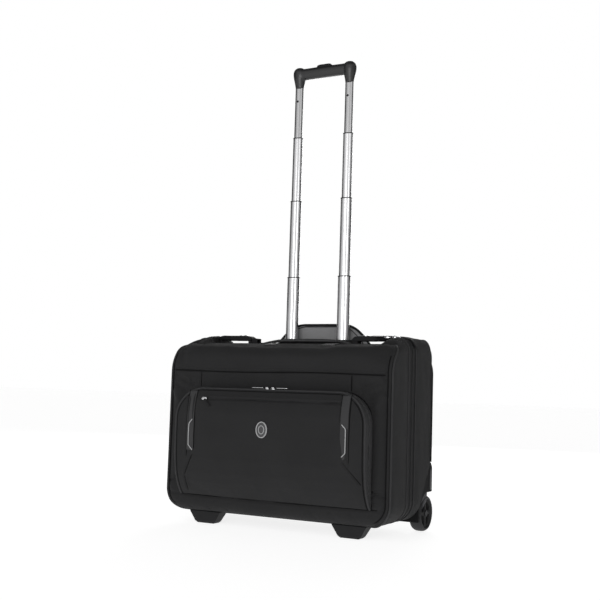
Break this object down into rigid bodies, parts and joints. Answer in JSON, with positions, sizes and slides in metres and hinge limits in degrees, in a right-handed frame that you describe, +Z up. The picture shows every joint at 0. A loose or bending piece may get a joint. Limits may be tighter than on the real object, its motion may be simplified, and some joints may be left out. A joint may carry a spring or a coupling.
{
  "type": "rolling case",
  "caption": "Soft-sided black rolling case with a telescoping handle, a book-opening body, a zipped front pocket, end straps, rear wheels and front feet.",
  "frame": {"origin": "on the floor, under the middle of the bounding box", "axes": "+Z up, +Y to the back with the wheels, +X to the right seen from the front"},
  "size_m": [0.55, 0.322, 1.096],
  "materials": {
    "black_fabric": "ballistic weave nylon, matt",
    "dark_lining": "smooth woven lining",
    "zip_tape": "woven zip tape with coil",
    "black_plastic": "moulded, fine grain",
    "satin_plastic": "moulded, satin",
    "tyre_rubber": "polyurethane tread",
    "tube_aluminium": "brushed, clear anodised",
    "axle_steel": "zinc plated",
    "nickel_zip": "nickel plated die casting"
  },
  "bodies": {
    "rear_case": {"rear_shell": "black_fabric", "rear_zip_tape": "zip_tape", "hinge_spine": "black_fabric", "trolley_cover": "dark_lining", "tube_bracket": "black_plastic", "handle_bezel": "black_plastic", "arch_flap": "dark_lining", "back_panel": "black_fabric", "kick_plate": "black_plastic", "wheel_housing_left": "black_plastic", "wheel_housing_right": "black_plastic", "axle_left": "axle_steel", "axle_right": "axle_steel", "base_tube_left": "tube_aluminium", "base_tube_right": "tube_aluminium", "handle_anchor_left": "black_plastic", "handle_anchor_right": "black_plastic", "strap_loop_left": "black_plastic", "strap_loop_right": "black_plastic"},
    "front_case": {"front_shell": "black_fabric", "front_zip_tape": "zip_tape", "pocket_gusset": "zip_tape", "foot_left": "black_plastic", "foot_right": "black_plastic"},
    "pocket_flap": {"pocket_panel": "black_fabric", "badge": "nickel_zip"},
    "slip_slider": {"slip_slider": "nickel_zip"},
    "stage_a": {"tube_a_left": "tube_aluminium", "tube_a_right": "tube_aluminium", "lip_a_left": "black_plastic", "lip_a_right": "black_plastic"},
    "stage_b": {"tube_b_left": "tube_aluminium", "tube_b_right": "tube_aluminium", "lip_b_left": "black_plastic", "lip_b_right": "black_plastic"},
    "stage_c": {"tube_c_left": "tube_aluminium", "tube_c_right": "tube_aluminium", "lip_c_left": "black_plastic", "lip_c_right": "black_plastic"},
    "grip": {"tube_d_left": "tube_aluminium", "tube_d_right": "tube_aluminium", "grip_body": "satin_plastic"},
    "grip_button": {"grip_button": "black_plastic"},
    "carry_handle": {"carry_handle": "black_fabric"},
    "wheel_left": {"tyre_left": "tyre_rubber", "hub_left": "satin_plastic"},
    "strap_left": {"end_strap_left": "black_fabric", "strap_clip_left": "black_plastic"},
    "main_slider_left": {"main_slider_left": "nickel_zip"},
    "main_pull_left": {"main_pull_left": "nickel_zip"},
    "pocket_slider_left": {"pocket_slider_left": "nickel_zip"},
    "pocket_pull_left": {"pocket_pull_left": "nickel_zip"},
    "wheel_right": {"tyre_right": "tyre_rubber", "hub_right": "satin_plastic"},
    "strap_right": {"end_strap_right": "black_fabric", "strap_clip_right": "black_plastic"},
    "main_slider_right": {"main_slider_right": "nickel_zip"},
    "main_pull_right": {"main_pull_right": "nickel_zip"},
    "pocket_slider_right": {"pocket_slider_right": "nickel_zip"},
    "pocket_pull_right": {"pocket_pull_right": "nickel_zip"}
  },
  "joints": [
    {"name": "front_opening", "type": "hinge", "parent": "rear_case", "child": "front_case", "pos_m": [-0.275, 0.00215, 0.21], "axis": [0, 0, -1], "range_deg": [0, 120]},
    {"name": "pocket_opening", "type": "hinge", "parent": "front_case", "child": "pocket_flap", "pos_m": [0, -0.13, 0.066], "axis": [1, 0, 0], "range_deg": [0, 80]},
    {"name": "slip_zip", "type": "slide", "parent": "pocket_flap", "child": "slip_slider", "axis": [1, 0, 0], "range_m": [0, 0.31]},
    {"name": "stage_a_slide", "type": "slide", "parent": "rear_case", "child": "stage_a", "axis": [0, 0, 1], "range_m": [-0.149, 0]},
    {"name": "stage_b_slide", "type": "slide", "parent": "stage_a", "child": "stage_b", "axis": [0, 0, 1], "range_m": [-0.184, 0]},
    {"name": "stage_c_slide", "type": "slide", "parent": "stage_b", "child": "stage_c", "axis": [0, 0, 1], "range_m": [-0.154, 0]},
    {"name": "grip_slide", "type": "slide", "parent": "stage_c", "child": "grip", "axis": [0, 0, 1], "range_m": [-0.122, 0]},
    {"name": "button_press", "type": "slide", "parent": "grip", "child": "grip_button", "axis": [0, 0, -1], "range_m": [0, 0.004], "stiffness_N_per_m": 400, "springref_m": -0.002},
    {"name": "carry_handle_lift", "type": "slide", "parent": "rear_case", "child": "carry_handle", "axis": [0, 0, 1], "range_m": [0, 0.016]},
    {"name": "wheel_left_spin", "type": "hinge", "parent": "rear_case", "child": "wheel_left", "pos_m": [-0.25325, 0.121, 0.04], "axis": [1, 0, 0], "continuous": true},
    {"name": "strap_left_swing", "type": "hinge", "parent": "rear_case", "child": "strap_left", "pos_m": [-0.27047, 0.027, 0.40025], "axis": [0, -1, 0], "range_deg": [0, 120]},
    {"name": "wheel_right_spin", "type": "hinge", "parent": "rear_case", "child": "wheel_right", "pos_m": [0.25325, 0.121, 0.04], "axis": [1, 0, 0], "continuous": true},
    {"name": "strap_right_swing", "type": "hinge", "parent": "rear_case", "child": "strap_right", "pos_m": [0.27047, 0.027, 0.40025], "axis": [0, 1, 0], "range_deg": [0, 120]},
    {"name": "main_slider_left_run", "type": "slide", "parent": "rear_case", "child": "main_slider_left", "axis": [-0.999, 0, -0.045], "range_m": [0, 0.3]},
    {"name": "main_slider_right_run", "type": "hinge", "parent": "rear_case", "child": "main_slider_right", "pos_m": [0.225, 0.007, 0.374], "axis": [0, 1, 0], "range_deg": [0, 75]},
    {"name": "main_pull_left_flip", "type": "hinge", "parent": "main_slider_left", "child": "main_pull_left", "pos_m": [0.206, 0.007, 0.4293], "axis": [0, 1, 0], "range_deg": [0, 100]},
    {"name": "main_pull_right_flip", "type": "hinge", "parent": "main_slider_right", "child": "main_pull_right", "pos_m": [0.2411, 0.007, 0.4271], "axis": [0, -1, 0], "range_deg": [0, 100]},
    {"name": "pocket_slider_left_run", "type": "slide", "parent": "front_case", "child": "pocket_slider_left", "axis": [-1, 0, 0], "range_m": [0, 0.145]},
    {"name": "pocket_pull_left_flip", "type": "hinge", "parent": "pocket_slider_left", "child": "pocket_pull_left", "pos_m": [-0.0162, -0.13, 0.3075], "axis": [0, 1, 0], "range_deg": [0, 100]},
    {"name": "pocket_slider_right_run", "type": "slide", "parent": "front_case", "child": "pocket_slider_right", "axis": [1, 0, 0], "range_m": [0, 0.145]},
    {"name": "pocket_pull_right_flip", "type": "hinge", "parent": "pocket_slider_right", "child": "pocket_pull_right", "pos_m": [0.0162, -0.13, 0.3075], "axis": [0, -1, 0], "range_deg": [0, 100]}
  ]
}
